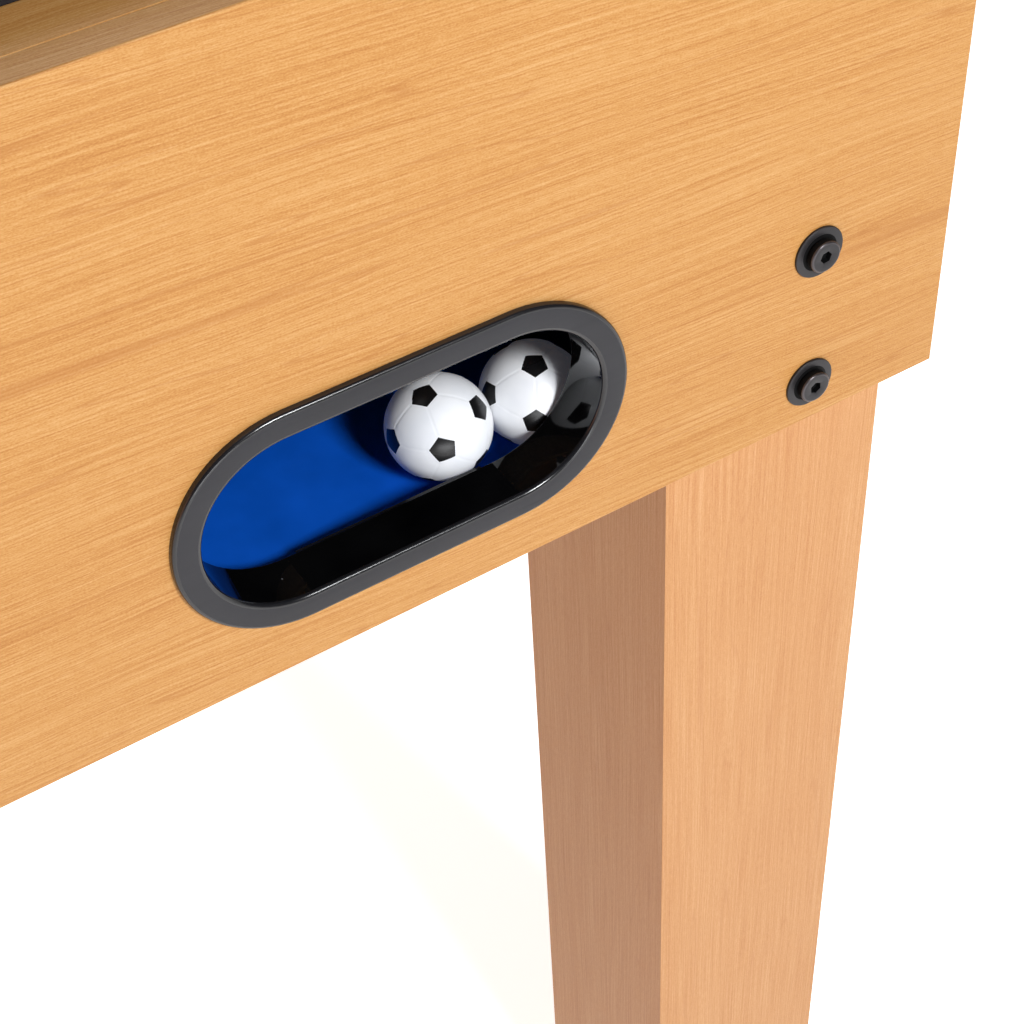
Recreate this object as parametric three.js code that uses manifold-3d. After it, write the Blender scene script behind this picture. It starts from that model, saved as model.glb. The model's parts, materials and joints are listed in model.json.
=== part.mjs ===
// Foosball table for the home, 48 inch class.
// Millimetres, +Z up. X runs across the table (along the rods), Y along its length.
// The origin is on the floor, in the middle of the table's outline.
import * as THREE from "three";
import { mergeVertices } from "three/addons/utils/BufferGeometryUtils.js";
import Module from "manifold-3d";

const wasm = await Module();
wasm.setup();

// ---------------------------------------------------------------- driving dimensions
const GAP = 0.3; // between pieces that touch
const CLEARANCE = 0.5; // round a screw or a rod in its hole
const CUT_PAST = 1; // how far a cutting tool runs past the face that it opens
const ARC_STEPS = 6; // half the number of sides that a drawn circle gets

// cabinet
const LENGTH = 1210;
const WIDTH = 610;
const RIM_Z = 810;
const PANEL_Z = 580; // bottom edge of the four panels
const PANEL = 12; // board thickness
const FIELD_Z = 700; // top of the playfield
const FIELD_BOARD = 6;
const BEAM = { width: 18, height: 60 };

// end of the table: goal wall, goal mouth, cover board
const CAVITY = 56; // between end panel and goal wall, where a scored ball drops
const GOAL = { width: 190, height: 78 };

// ball return mouth, a stadium with its long axis level, in each end panel
const MOUTH = { x: 92, z: 642.3, arcX: 37.8, openR: 32, tubeR: 34.2, holeR: 34.6, flangeR: 41.5 };
const FLANGE = 2.5; // how far the trim stands out of the panel
const TUBE_DEPTH = 16.4; // from the panel's outer face to the tube's inner end
const TAB = { halfLength: 34, height: 1.6, depth: 1.5 }; // lip behind the tube's lower edge

// ball tray behind the mouth, falling towards +X so that the balls collect there
const TRAY = { left: -105, right: 178, depth: 98, wall: 4, slope: 0.094, floorAtMouth: 601.6 };
const BALL_R = 18;

// legs, feet and their bolts
const LEG = { width: 95.7, depth: 100, bottom: 14, top: 687 };
const FOOT = { radius: 20, pad: 8, neckR: 9, stemR: 5, stem: 22, hole: 34 };
const BOLT = { x: 248, upperZ: 653.9, lowerZ: 597.8, shankR: 3, headR: 5.9, washerR: 9.6 };
const BOLT_LENGTH = { washer: 1, head: 4.5, shank: 52, holeInLeg: 44 };
const HEX = { acrossFlats: 4, depth: 2.6 };

// rods and players
const ROD_COUNT = 8;
const ROD_PITCH = 131;
const ROD_Z = 767;
const ROD_R = 6.35;
const ROD_END = 442; // free end, from the middle of the table
const BEARING = { bore: 6.8, sleeveR: 10, innerR: 13, outerR: 15, flange: 4 };
const HANDLE = { start: 440.3, length: 110, boreDepth: 78, rodEndGap: 2 };
const BUMPER = { radius: 12, length: 20 };
const MAN_WIDTH = 24;
const HEAD = { radius: 10.5, z: 31 };
// players on each kind of rod and the distance between them
const ROD_KINDS = {
  goalie: { men: 3, spacing: 190 },
  defence: { men: 2, spacing: 260 },
  attack: { men: 3, spacing: 165 },
  midfield: { men: 5, spacing: 104 },
};
// from the near goal to the far one; the near team holds its rods at +X
const RODS = [
  ["near_goalie", "near", "goalie"],
  ["near_defence", "near", "defence"],
  ["far_attack", "far", "attack"],
  ["near_midfield", "near", "midfield"],
  ["far_midfield", "far", "midfield"],
  ["near_attack", "near", "attack"],
  ["far_defence", "far", "defence"],
  ["far_goalie", "far", "goalie"],
];

// ball entry hole in the side panels, and score counters on the cover boards
const ENTRY = { z: 745, radius: 22 };
const SCORER = { length: 230, restX: -100, markerLength: 14 };
const PANEL_HOLE_CLEARANCE = 0.7; // round a rod or a bearing in a side panel

// worked out from the above
const INNER_X = WIDTH / 2 - PANEL; // inner face of the side panels
const INNER_Y = LENGTH / 2 - PANEL; // inner face of the end panels
const GOAL_WALL_Y = INNER_Y - CAVITY; // back face of the goal wall
const LEG_X = INNER_X - GAP - LEG.width / 2;
const LEG_Y = INNER_Y - GAP - LEG.depth / 2;

// ---------------------------------------------------------------- materials
function paint(color, roughness, metalness = 0) {
  return new THREE.MeshStandardMaterial({ color, roughness, metalness });
}
const maple = paint(0xebb270, 0.5);
const fieldGreen = paint(0x1f7a3a, 0.7);
const blackPlastic = paint(0x1b1b1e, 0.35);
const trayBlue = paint(0x0741a0, 0.55);
const darkSteel = paint(0x3a3a3d, 0.4, 0.8);
const ballWhite = paint(0xf2f2f0, 0.25);
const teamColours = { near: paint(0xb3202a, 0.4), far: paint(0x1d3f9c, 0.4) };

// ---------------------------------------------------------------- geometry helpers
function toSolid(geometry) {
  const bare = geometry.clone();
  bare.deleteAttribute("normal");
  bare.deleteAttribute("uv");
  const merged = mergeVertices(bare, 1e-4);
  const corners = [];
  for (let i = 0; i < merged.index.count; i += 3) {
    const [a, b, c] = [0, 1, 2].map((k) => merged.index.getX(i + k));
    if (a !== b && b !== c && c !== a) corners.push(a, b, c);
  }
  return new wasm.Manifold(new wasm.Mesh({
    numProp: 3,
    vertProperties: new Float32Array(merged.attributes.position.array),
    triVerts: new Uint32Array(corners),
  }));
}

function toGeometry(solid) {
  const mesh = solid.getMesh();
  const geometry = new THREE.BufferGeometry();
  geometry.setAttribute("position", new THREE.BufferAttribute(mesh.vertProperties, 3));
  geometry.setIndex(new THREE.BufferAttribute(mesh.triVerts, 1));
  geometry.computeVertexNormals();
  return geometry;
}

function join(...geometries) {
  return toGeometry(geometries.map(toSolid).reduce((sum, solid) => sum.add(solid)));
}

function cut(geometry, ...tools) {
  return toGeometry(tools.map(toSolid).reduce((rest, tool) => rest.subtract(tool), toSolid(geometry)));
}

function box([x0, x1], [y0, y1], [z0, z1]) {
  return new THREE.BoxGeometry(x1 - x0, y1 - y0, z1 - z0)
    .translate((x0 + x1) / 2, (y0 + y1) / 2, (z0 + z1) / 2);
}

function outline(points) {
  return new THREE.Shape(points.map(([u, v]) => new THREE.Vector2(u, v)));
}

function rectangle(u0, u1, v0, v1) {
  return outline([[u0, v0], [u1, v0], [u1, v1], [u0, v1]]);
}

function circle(u, v, radius, Kind = THREE.Path) {
  return new Kind().absarc(u, v, radius, 0, 2 * Math.PI);
}

function stadium(radius, Kind = THREE.Path) {
  const shape = new Kind();
  shape.absarc(MOUTH.x + MOUTH.arcX, MOUTH.z, radius, -Math.PI / 2, Math.PI / 2);
  shape.absarc(MOUTH.x - MOUTH.arcX, MOUTH.z, radius, Math.PI / 2, 1.5 * Math.PI);
  return shape;
}

function withHoles(shape, ...holes) {
  shape.holes.push(...holes);
  return shape;
}

// an (x, z) outline drawn out from y0 to y1
function alongY(shape, [y0, y1]) {
  return new THREE.ExtrudeGeometry(shape, { depth: y1 - y0, bevelEnabled: false, curveSegments: ARC_STEPS })
    .rotateX(Math.PI / 2)
    .translate(0, y1, 0);
}

// a (y, z) outline drawn out from x0 to x1
function alongX(shape, [x0, x1]) {
  const turn = new THREE.Matrix4().makeBasis(
    new THREE.Vector3(0, 1, 0), new THREE.Vector3(0, 0, 1), new THREE.Vector3(1, 0, 0));
  return new THREE.ExtrudeGeometry(shape, { depth: x1 - x0, bevelEnabled: false, curveSegments: ARC_STEPS })
    .applyMatrix4(turn)
    .translate(x0, 0, 0);
}

// a round bar, with its axis along X, Y or Z
function bar(axis, radius, from, to, sides = 12) {
  const geometry = new THREE.CylinderGeometry(radius, radius, to - from, sides)
    .translate(0, (from + to) / 2, 0);
  if (axis === "x") geometry.rotateZ(-Math.PI / 2);
  if (axis === "z") geometry.rotateX(Math.PI / 2);
  return geometry;
}

// a turned piece; its profile is a list of [radius, height along the axis]
function turned(profile, sides = 12) {
  return new THREE.LatheGeometry(profile.map(([r, h]) => new THREE.Vector2(r, h)), sides);
}

function add(group, name, geometry, material) {
  const mesh = new THREE.Mesh(geometry, material);
  mesh.name = name;
  group.add(mesh);
  return mesh;
}

// ---------------------------------------------------------------- cabinet
function sidePanel(handleRods) {
  const holes = RODS.map(([, team], k) =>
    circle((k - (ROD_COUNT - 1) / 2) * ROD_PITCH, ROD_Z,
      (team === handleRods ? BEARING.sleeveR : ROD_R) + PANEL_HOLE_CLEARANCE));
  const entry = circle(0, ENTRY.z, ENTRY.radius);
  const board = rectangle(-INNER_Y + GAP, INNER_Y - GAP, PANEL_Z, RIM_Z);
  return withHoles(board, ...holes, entry);
}

function buildCabinet(table) {
  add(table, "right_side_panel",
    alongX(sidePanel("near"), [INNER_X, WIDTH / 2]), maple);
  add(table, "left_side_panel",
    alongX(sidePanel("far"), [-WIDTH / 2, -INNER_X]), maple);
  const fieldEnd = GOAL_WALL_Y - GAP;
  const fieldSide = INNER_X - GAP;
  add(table, "playfield",
    box([-fieldSide, fieldSide], [-fieldEnd, fieldEnd], [FIELD_Z - FIELD_BOARD, FIELD_Z]), fieldGreen);
  const beamTop = FIELD_Z - FIELD_BOARD - GAP;
  add(table, "playfield_support_beam",
    box([-fieldSide, fieldSide], [-BEAM.width / 2, BEAM.width / 2], [beamTop - BEAM.height, beamTop]),
    maple);
}

// ---------------------------------------------------------------- one end of the table
// modelled at -Y; the far end is the same set turned half round
function boltGeometry() {
  const { washer, head, shank } = BOLT_LENGTH;
  const body = turned([
    [0, -shank], [BOLT.shankR, -shank], [BOLT.shankR, 0], [BOLT.washerR, 0],
    [BOLT.washerR, washer], [BOLT.headR, washer], [BOLT.headR, head], [0, head],
  ]);
  const hexR = HEX.acrossFlats / 2 / Math.cos(Math.PI / 6);
  const socket = bar("y", hexR, head - HEX.depth, head + CUT_PAST, 6);
  return cut(body, socket).rotateX(Math.PI);
}

function legGeometry(x) {
  const left = x - LEG.width / 2;
  const right = x + LEG.width / 2;
  const front = -INNER_Y + GAP;
  const block = box([left, right], [front, front + LEG.depth], [LEG.bottom, LEG.top]);
  const boltX = Math.sign(x) * BOLT.x;
  const holes = [BOLT.upperZ, BOLT.lowerZ].map((z) =>
    bar("y", BOLT.shankR + CLEARANCE, front - CUT_PAST, front + BOLT_LENGTH.holeInLeg)
      .translate(boltX, 0, z));
  const stemHole = bar("z", FOOT.stemR + CLEARANCE, LEG.bottom - CUT_PAST, LEG.bottom + FOOT.hole)
    .translate(x, front + LEG.depth / 2, 0);
  return cut(block, ...holes, stemHole);
}

function footGeometry() {
  const shoulder = LEG.bottom - GAP;
  return turned([
    [0, 0], [FOOT.radius, 0], [FOOT.radius, FOOT.pad], [FOOT.neckR, FOOT.pad],
    [FOOT.neckR, shoulder], [FOOT.stemR, shoulder], [FOOT.stemR, shoulder + FOOT.stem],
    [0, shoulder + FOOT.stem],
  ]).rotateX(Math.PI / 2);
}

function trayGeometry() {
  const { left, right, depth, wall, slope, floorAtMouth } = TRAY;
  const top = FIELD_Z - FIELD_BOARD - GAP;
  const front = -INNER_Y + GAP;
  const floorZ = (x) => floorAtMouth - slope * (x - MOUTH.x);
  const channel = outline([
    [left - wall, top], [left - wall, floorZ(left) - wall], [right + wall, floorZ(right) - wall],
    [right + wall, top], [right, top], [right, floorZ(right)], [left, floorZ(left)], [left, top],
  ]);
  const backPlate = outline([
    [left - wall, floorZ(left) - wall], [right + wall, floorZ(right) - wall],
    [right + wall, top], [left - wall, top],
  ]);
  return join(alongY(channel, [front, front + depth]),
    alongY(backPlate, [front + depth - wall, front + depth]));
}

function goalWallGeometry() {
  const side = INNER_X - GAP;
  const bottom = FIELD_Z + GAP;
  const top = RIM_Z - PANEL - GAP;
  const half = GOAL.width / 2;
  const mouthTop = FIELD_Z + GOAL.height;
  const shape = outline([
    [-side, bottom], [-half, bottom], [-half, mouthTop], [half, mouthTop],
    [half, bottom], [side, bottom], [side, top], [-side, top],
  ]);
  return alongY(shape, [-GOAL_WALL_Y, -GOAL_WALL_Y + PANEL]);
}

function trimGeometry() {
  const face = -LENGTH / 2;
  const flange = withHoles(stadium(MOUTH.flangeR, THREE.Shape), stadium(MOUTH.openR));
  const tube = withHoles(stadium(MOUTH.tubeR, THREE.Shape), stadium(MOUTH.openR));
  const tabBottom = MOUTH.z - MOUTH.tubeR;
  const tab = rectangle(MOUTH.x - TAB.halfLength, MOUTH.x + TAB.halfLength,
    tabBottom, tabBottom + TAB.height);
  return join(alongY(flange, [face - FLANGE, face - GAP]),
    alongY(tube, [face - FLANGE / 2, face + TUBE_DEPTH]),
    alongY(tab, [face + TUBE_DEPTH - CUT_PAST, face + TUBE_DEPTH + TAB.depth]));
}

function endPanelGeometry() {
  const board = rectangle(-WIDTH / 2, WIDTH / 2, PANEL_Z, RIM_Z);
  const boltHoles = [-1, 1].flatMap((side) => [BOLT.upperZ, BOLT.lowerZ].map((z) =>
    circle(side * BOLT.x, z, BOLT.shankR + CLEARANCE)));
  return alongY(withHoles(board, stadium(MOUTH.holeR), ...boltHoles), [-LENGTH / 2, -INNER_Y]);
}

function buildScorer(end, name) {
  const y = -(INNER_Y + GOAL_WALL_Y - PANEL) / 2;
  const rail = outline([
    [-13, GAP], [13, GAP], [13, 3], [3, 3], [3, 7], [8, 7],
    [8, 11], [-8, 11], [-8, 7], [-3, 7], [-3, 3], [-13, 3],
  ]);
  const half = SCORER.length / 2;
  add(end, `${name}_scorer_rail`, alongX(rail, [-half, half]).translate(0, y, RIM_Z), blackPlastic);
  const marker = outline([
    [-12, 3.5], [-3.6, 3.5], [-3.6, 6.5], [-8.5, 6.5], [-8.5, 11.5], [8.5, 11.5],
    [8.5, 6.5], [3.6, 6.5], [3.6, 3.5], [12, 3.5], [12, 15], [-12, 15],
  ]);
  const markerHalf = SCORER.markerLength / 2;
  add(end, `${name}_scorer_marker`,
    alongX(marker, [SCORER.restX - markerHalf, SCORER.restX + markerHalf]).translate(0, y, RIM_Z),
    teamColours[name]);
}

function buildEnd(table, name, turn) {
  const end = new THREE.Group();
  end.rotation.z = turn;
  table.add(end);

  add(end, `${name}_end_panel`, endPanelGeometry(), maple);
  add(end, `${name}_goal_wall`, goalWallGeometry(), maple);
  const coverSide = INNER_X - GAP;
  add(end, `${name}_cover_board`,
    box([-coverSide, coverSide], [-INNER_Y + GAP, -GOAL_WALL_Y + PANEL], [RIM_Z - PANEL, RIM_Z]), maple);
  add(end, `${name}_ball_return_trim`, trimGeometry(), blackPlastic);
  add(end, `${name}_ball_tray`, trayGeometry(), trayBlue);
  buildScorer(end, name);

  for (const [side, sign] of [["left", -1], ["right", 1]]) {
    add(end, `${name}_${side}_leg`, legGeometry(sign * LEG_X), maple);
    const foot = add(end, `${name}_${side}_levelling_foot`, footGeometry(), blackPlastic);
    foot.position.set(sign * LEG_X, -LEG_Y, 0);
    for (const [level, z] of [["upper", BOLT.upperZ], ["lower", BOLT.lowerZ]]) {
      const bolt = add(end, `${name}_${side}_${level}_bolt`, boltGeometry(), darkSteel);
      bolt.position.set(sign * BOLT.x, -LENGTH / 2 - GAP, z);
    }
  }
}

// ---------------------------------------------------------------- rods
// one player, facing +Y, with the rod through the chest at the origin
function manGeometry() {
  const profile = outline([
    [-7, 24], [-8, -16], [-6, -48], [-9, -62], [13, -62],
    [13, -54], [4, -46], [8, -14], [6, 24],
  ]);
  return join(alongX(profile, [-MAN_WIDTH / 2, MAN_WIDTH / 2]),
    new THREE.IcosahedronGeometry(HEAD.radius, 0).translate(0, 0, HEAD.z));
}

function rodGeometry({ men, spacing }) {
  const rod = bar("x", ROD_R, -ROD_END, HANDLE.start + HANDLE.boreDepth - HANDLE.rodEndGap);
  const player = manGeometry();
  const players = Array.from({ length: men }, (_, k) =>
    player.clone().translate((k - (men - 1) / 2) * spacing, 0, 0));
  const shoulder = ((men - 1) / 2) * spacing + MAN_WIDTH / 2;
  const bumper = bar("x", BUMPER.radius, shoulder, shoulder + BUMPER.length, 8);
  return join(rod, ...players, bumper, bumper.clone().translate(-2 * shoulder - BUMPER.length, 0, 0));
}

function bearingGeometry() {
  const { bore, sleeveR, innerR, outerR, flange } = BEARING;
  const inside = INNER_X - GAP;
  const outside = WIDTH / 2 + GAP;
  return turned([
    [bore, inside - flange], [innerR, inside - flange], [innerR, inside], [sleeveR, inside],
    [sleeveR, outside], [outerR, outside], [outerR, outside + flange], [bore, outside + flange],
    [bore, inside - flange],
  ]).rotateZ(-Math.PI / 2);
}

function handleGeometry() {
  const { start, length, boreDepth } = HANDLE;
  const boreR = ROD_R + CLEARANCE;
  return turned([
    [0, start + boreDepth], [boreR, start + boreDepth], [boreR, start], [11, start],
    [15, start + 8], [14, start + 24], [16.5, start + 60], [16, start + 96],
    [11, start + length], [0, start + length],
  ], 8).rotateZ(-Math.PI / 2);
}

function buildRods(table) {
  RODS.forEach(([name, team, kind], k) => {
    const set = new THREE.Group();
    set.position.set(0, (k - (ROD_COUNT - 1) / 2) * ROD_PITCH, ROD_Z);
    set.rotation.z = team === "near" ? 0 : Math.PI;
    table.add(set);
    add(set, `${name}_bearing`, bearingGeometry(), blackPlastic);
    add(set, `${name}_rod_with_players`, rodGeometry(ROD_KINDS[kind]), teamColours[team]);
    add(set, `${name}_handle`, handleGeometry(), blackPlastic);
  });
}

// ---------------------------------------------------------------- balls in the near tray
function buildBalls(table) {
  const places = { left_ball: [29.1, 34.5], right_ball: [65.2, 34.5] };
  for (const [name, [x, y]] of Object.entries(places)) {
    const floorZ = TRAY.floorAtMouth - TRAY.slope * x;
    const lift = BALL_R * Math.hypot(1, TRAY.slope) + GAP / 2;
    const ball = add(table, name, new THREE.IcosahedronGeometry(BALL_R, 2), ballWhite);
    ball.position.set(MOUTH.x + x, -LENGTH / 2 + y, floorZ + lift);
  }
}

// ---------------------------------------------------------------- the whole table
const table = new THREE.Group();
buildCabinet(table);
buildEnd(table, "near", 0);
buildEnd(table, "far", Math.PI);
buildRods(table);
buildBalls(table);

export default table;
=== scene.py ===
"""Looks for a home foosball table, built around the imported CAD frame.

Places are in metres in the CAD frame: X across the table, Y along it, Z up. The shapes of single
pieces are drawn in millimetres and scaled when they are built.
"""
import json
import math
import random

import bmesh
import bpy
from mathutils import Euler, Matrix, Vector

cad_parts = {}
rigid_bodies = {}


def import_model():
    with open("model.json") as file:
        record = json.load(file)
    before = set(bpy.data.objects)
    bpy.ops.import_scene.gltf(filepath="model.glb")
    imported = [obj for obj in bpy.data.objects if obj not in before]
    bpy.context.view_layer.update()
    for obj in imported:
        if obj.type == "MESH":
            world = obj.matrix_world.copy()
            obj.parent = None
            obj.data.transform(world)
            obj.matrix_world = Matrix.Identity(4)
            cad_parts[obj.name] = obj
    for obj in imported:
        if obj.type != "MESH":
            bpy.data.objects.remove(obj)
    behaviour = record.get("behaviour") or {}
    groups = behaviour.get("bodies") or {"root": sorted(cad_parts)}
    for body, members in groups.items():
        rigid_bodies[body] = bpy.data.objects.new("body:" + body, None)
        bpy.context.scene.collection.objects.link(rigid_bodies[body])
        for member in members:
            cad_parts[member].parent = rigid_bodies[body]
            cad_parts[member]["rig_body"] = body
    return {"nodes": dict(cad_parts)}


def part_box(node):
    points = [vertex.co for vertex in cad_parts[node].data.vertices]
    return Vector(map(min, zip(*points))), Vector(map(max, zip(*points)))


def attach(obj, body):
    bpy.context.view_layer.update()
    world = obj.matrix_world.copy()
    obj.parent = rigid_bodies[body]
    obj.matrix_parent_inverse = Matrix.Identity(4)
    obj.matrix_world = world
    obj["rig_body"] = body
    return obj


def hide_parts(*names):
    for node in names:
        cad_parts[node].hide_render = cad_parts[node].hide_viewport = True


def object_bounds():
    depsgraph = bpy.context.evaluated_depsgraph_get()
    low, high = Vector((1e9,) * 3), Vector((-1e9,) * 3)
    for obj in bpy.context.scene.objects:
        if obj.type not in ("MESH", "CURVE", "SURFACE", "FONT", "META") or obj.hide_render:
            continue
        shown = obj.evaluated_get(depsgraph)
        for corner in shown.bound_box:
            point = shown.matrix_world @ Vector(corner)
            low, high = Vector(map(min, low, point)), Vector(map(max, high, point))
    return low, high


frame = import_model()
CAD_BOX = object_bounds()
NODES = frame["nodes"]
MM = 0.001

# ------------------------------------------------------------------ places read from the frame
TRIM_LOW, TRIM_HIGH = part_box("near_ball_return_trim")
PANEL_LOW, PANEL_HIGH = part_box("near_end_panel")
FACE_Y = PANEL_LOW.y
MOUTH = Vector(((TRIM_LOW.x + TRIM_HIGH.x) / 2, FACE_Y, (TRIM_LOW.z + TRIM_HIGH.z) / 2))
FIELD_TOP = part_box("playfield")[1].z
HALF_WIDTH = PANEL_HIGH.x
BOARD = PANEL_HIGH.y - PANEL_LOW.y
ENTRY_HOLE_HEIGHT = 0.745  # middle of the hole cut in each side panel
ENDS = {"near": Matrix.Identity(4), "far": Matrix.Rotation(math.pi, 4, "Z")}
TO_X = Matrix.Rotation(math.pi / 2, 4, "Y")
OUT_OF_END = Matrix.Rotation(math.pi / 2, 4, "X")


# ------------------------------------------------------------------ camera
def make_camera():
    azimuth, down, roll = math.radians(29.52), math.radians(44.53), math.radians(3.7)
    camera = bpy.data.objects.new("camera", bpy.data.cameras.new("camera"))
    camera.data.lens = 70.15
    camera.data.sensor_width = 36
    camera.data.clip_start = 0.01
    turn = Euler((math.pi / 2 - down, 0, -azimuth)).to_matrix().to_4x4()
    place = MOUTH + Vector((-0.1916, -0.4003, 0.4125))
    camera.matrix_world = Matrix.Translation(place) @ turn @ Matrix.Rotation(-roll, 4, "Z")
    bpy.context.collection.objects.link(camera)
    bpy.context.scene.camera = camera


# ------------------------------------------------------------------ node materials
def linear(red, green, blue):
    """A shader colour from 8-bit screen values."""
    def straighten(value):
        value /= 255
        return value / 12.92 if value <= 0.04045 else ((value + 0.055) / 1.055) ** 2.4
    return (straighten(red), straighten(green), straighten(blue), 1)


class Finish:
    """One node material with a Principled shader, and short names for the nodes it needs."""

    def __init__(self, name, **constants):
        self.material = bpy.data.materials.new(name)
        self.material.use_nodes = True
        self.tree = self.material.node_tree
        self.shader = self.tree.nodes["Principled BSDF"]
        self.place = self.node("TexCoord").outputs["Object"]
        for socket, value in constants.items():
            self.shader.inputs[socket.replace("_", " ")].default_value = value

    def node(self, kind, inputs=(), **settings):
        made = self.tree.nodes.new("ShaderNode" + kind)
        for key, value in settings.items():
            setattr(made, key, value)
        for key, value in dict(inputs).items():
            if isinstance(value, bpy.types.NodeSocket):
                self.tree.links.new(value, made.inputs[key])
            else:
                made.inputs[key].default_value = value
        return made

    def link(self, socket, value):
        self.tree.links.new(value, self.shader.inputs[socket])

    def times(self, vector, factors):
        return self.node("VectorMath", {0: vector, 1: factors}, operation="MULTIPLY").outputs[0]

    def math(self, operation, first, second):
        return self.node("Math", {0: first, 1: second}, operation=operation).outputs[0]

    def noise(self, vector, stretch, detail=3, roughness=0.5):
        """stretch is the number of waves per metre along each axis."""
        made = self.node("TexNoise", {"Vector": self.times(vector, stretch), "Scale": 1.0,
                                      "Detail": detail, "Roughness": roughness})
        return made.outputs[0]

    def ramp(self, value, *stops):
        """stops are (position, grey level or colour) pairs."""
        made = self.node("ValToRGB", {0: value})
        band = made.color_ramp
        while len(band.elements) < len(stops):
            band.elements.new(1)
        for element, (position, colour) in zip(band.elements, stops):
            element.position = position
            element.color = colour if isinstance(colour, tuple) else (colour, colour, colour, 1)
        return made.outputs[0]

    def mix(self, amount, first, second):
        return self.node("Mix", {0: amount, 6: first, 7: second}, data_type="RGBA").outputs[2]

    def facing_up(self):
        """1 on faces that look up, 0 on upright faces and on those that look down."""
        normal = self.node("NewGeometry").outputs["Normal"]
        return self.ramp(self.node("SeparateXYZ", {0: normal}).outputs[2], (0.4, 0.0), (0.7, 1.0))

    def bump(self, height, distance, strength):
        made = self.node("Bump", {"Height": height, "Distance": distance, "Strength": strength})
        self.link("Normal", made.outputs[0])


PANEL_TONES = ((157, 98, 41), (180, 129, 68), (195, 151, 96))
LEG_TONES = ((168, 110, 63), (186, 134, 84), (199, 152, 105))
# the turn that brings each grain direction to X
GRAIN_TURNS = {"x": (0, 0, 0), "y": (0, 0, -math.pi / 2), "z": (0, math.pi / 2, 0)}
SLANT = 0.04
GRAIN_LAYERS = (
    # follows the slanted or the waved lines, waves per metre along and across the grain, weight
    ("waved", (1.2, 34, 1), 0.10),
    ("waved", (3, 240, 1), 0.06),
    ("waved", (5, 700, 1), 0.11),
    ("waved", (16, 1600, 1), 0.34),
    ("slanted", (220, 1900, 1), 0.20),
    ("slanted", (1300, 2400, 1), 0.26),
)


def maple(name, grain, tilt=(0, 0, 0), shift=(0, 0, 0), wave=1.0, contrast=1.0, tones=PANEL_TONES):
    """Printed maple laminate: tone bands, fine rippled growth lines, pores and thin contours."""
    dark, base, light = tones
    wood = Finish(name, Specular_IOR_Level=0.3)
    level = wood.node("Mapping", {"Vector": wood.place, "Rotation": GRAIN_TURNS[grain]})
    tilted = wood.node("Mapping", {"Vector": level.outputs[0], "Location": shift, "Rotation": tilt})
    along, side, depth = wood.node("SeparateXYZ", {0: tilted.outputs[0]}).outputs
    across = wood.math("ADD", side, depth)

    def shifted(offset, stretch, amount):
        flat = wood.node("CombineXYZ", {0: along, 1: offset}).outputs[0]
        push = wood.math("SUBTRACT", wood.noise(flat, stretch, 1), 0.5)
        return wood.math("ADD", offset, wood.math("MULTIPLY", push, amount))

    across = shifted(across, (5, 22, 1), 0.010 * wave)
    across = shifted(across, (70, 110, 1), 0.0006 * wave)
    slant = wood.math("ADD", across, wood.math("MULTIPLY", along, SLANT))
    lines = {"waved": wood.node("CombineXYZ", {0: along, 1: across}).outputs[0],
             "slanted": wood.node("CombineXYZ", {0: along, 1: slant}).outputs[0]}
    value = 0.5
    for direction, stretch, weight in GRAIN_LAYERS:
        layer = wood.math("SUBTRACT", wood.noise(lines[direction], stretch, 1), 0.5)
        value = wood.math("ADD", value, wood.math("MULTIPLY", layer, weight * contrast))
    colour = wood.ramp(value, (0.32, linear(*dark)), (0.5, linear(*base)), (0.66, linear(*light)))
    figure = wood.noise(lines["waved"], (1.8, 62, 1), 1)
    rings = wood.math("PINGPONG", wood.math("MULTIPLY", figure, 20.0), 1.0)
    ring_mask = wood.ramp(rings, (0.0, 0.42 * wave), (0.11, 0.0))
    wood.link("Base Color", wood.mix(ring_mask, colour, linear(*dark)))
    wood.link("Roughness", wood.ramp(value, (0.3, 0.58), (0.7, 0.46)))
    wood.bump(value, 0.00005, 0.4)
    return wood.material


def particle_board():
    board = Finish("particle_board", Specular_IOR_Level=0.2)
    chips = board.node("TexVoronoi", {"Vector": board.place, "Scale": 420.0}).outputs["Color"]
    grey = board.node("RGBToBW", {0: chips}).outputs[0]
    dust = board.noise(board.place, (900, 900, 900), 3)
    chip_tone = board.ramp(grey, (0.1, linear(138, 104, 68)), (0.5, linear(176, 140, 98)),
                           (0.9, linear(203, 172, 130)))
    dust_tone = board.ramp(dust, (0.3, linear(120, 90, 60)), (0.7, linear(205, 175, 135)))
    board.link("Base Color", board.mix(0.3, chip_tone, dust_tone))
    board.link("Roughness", board.ramp(dust, (0.3, 0.95), (0.7, 0.8)))
    board.bump(grey, 0.0003, 0.6)
    return board.material


DUST_COLOUR = (0.6, 0.62, 0.66, 1)
DUST_CELLS = 70.0  # per metre


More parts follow.
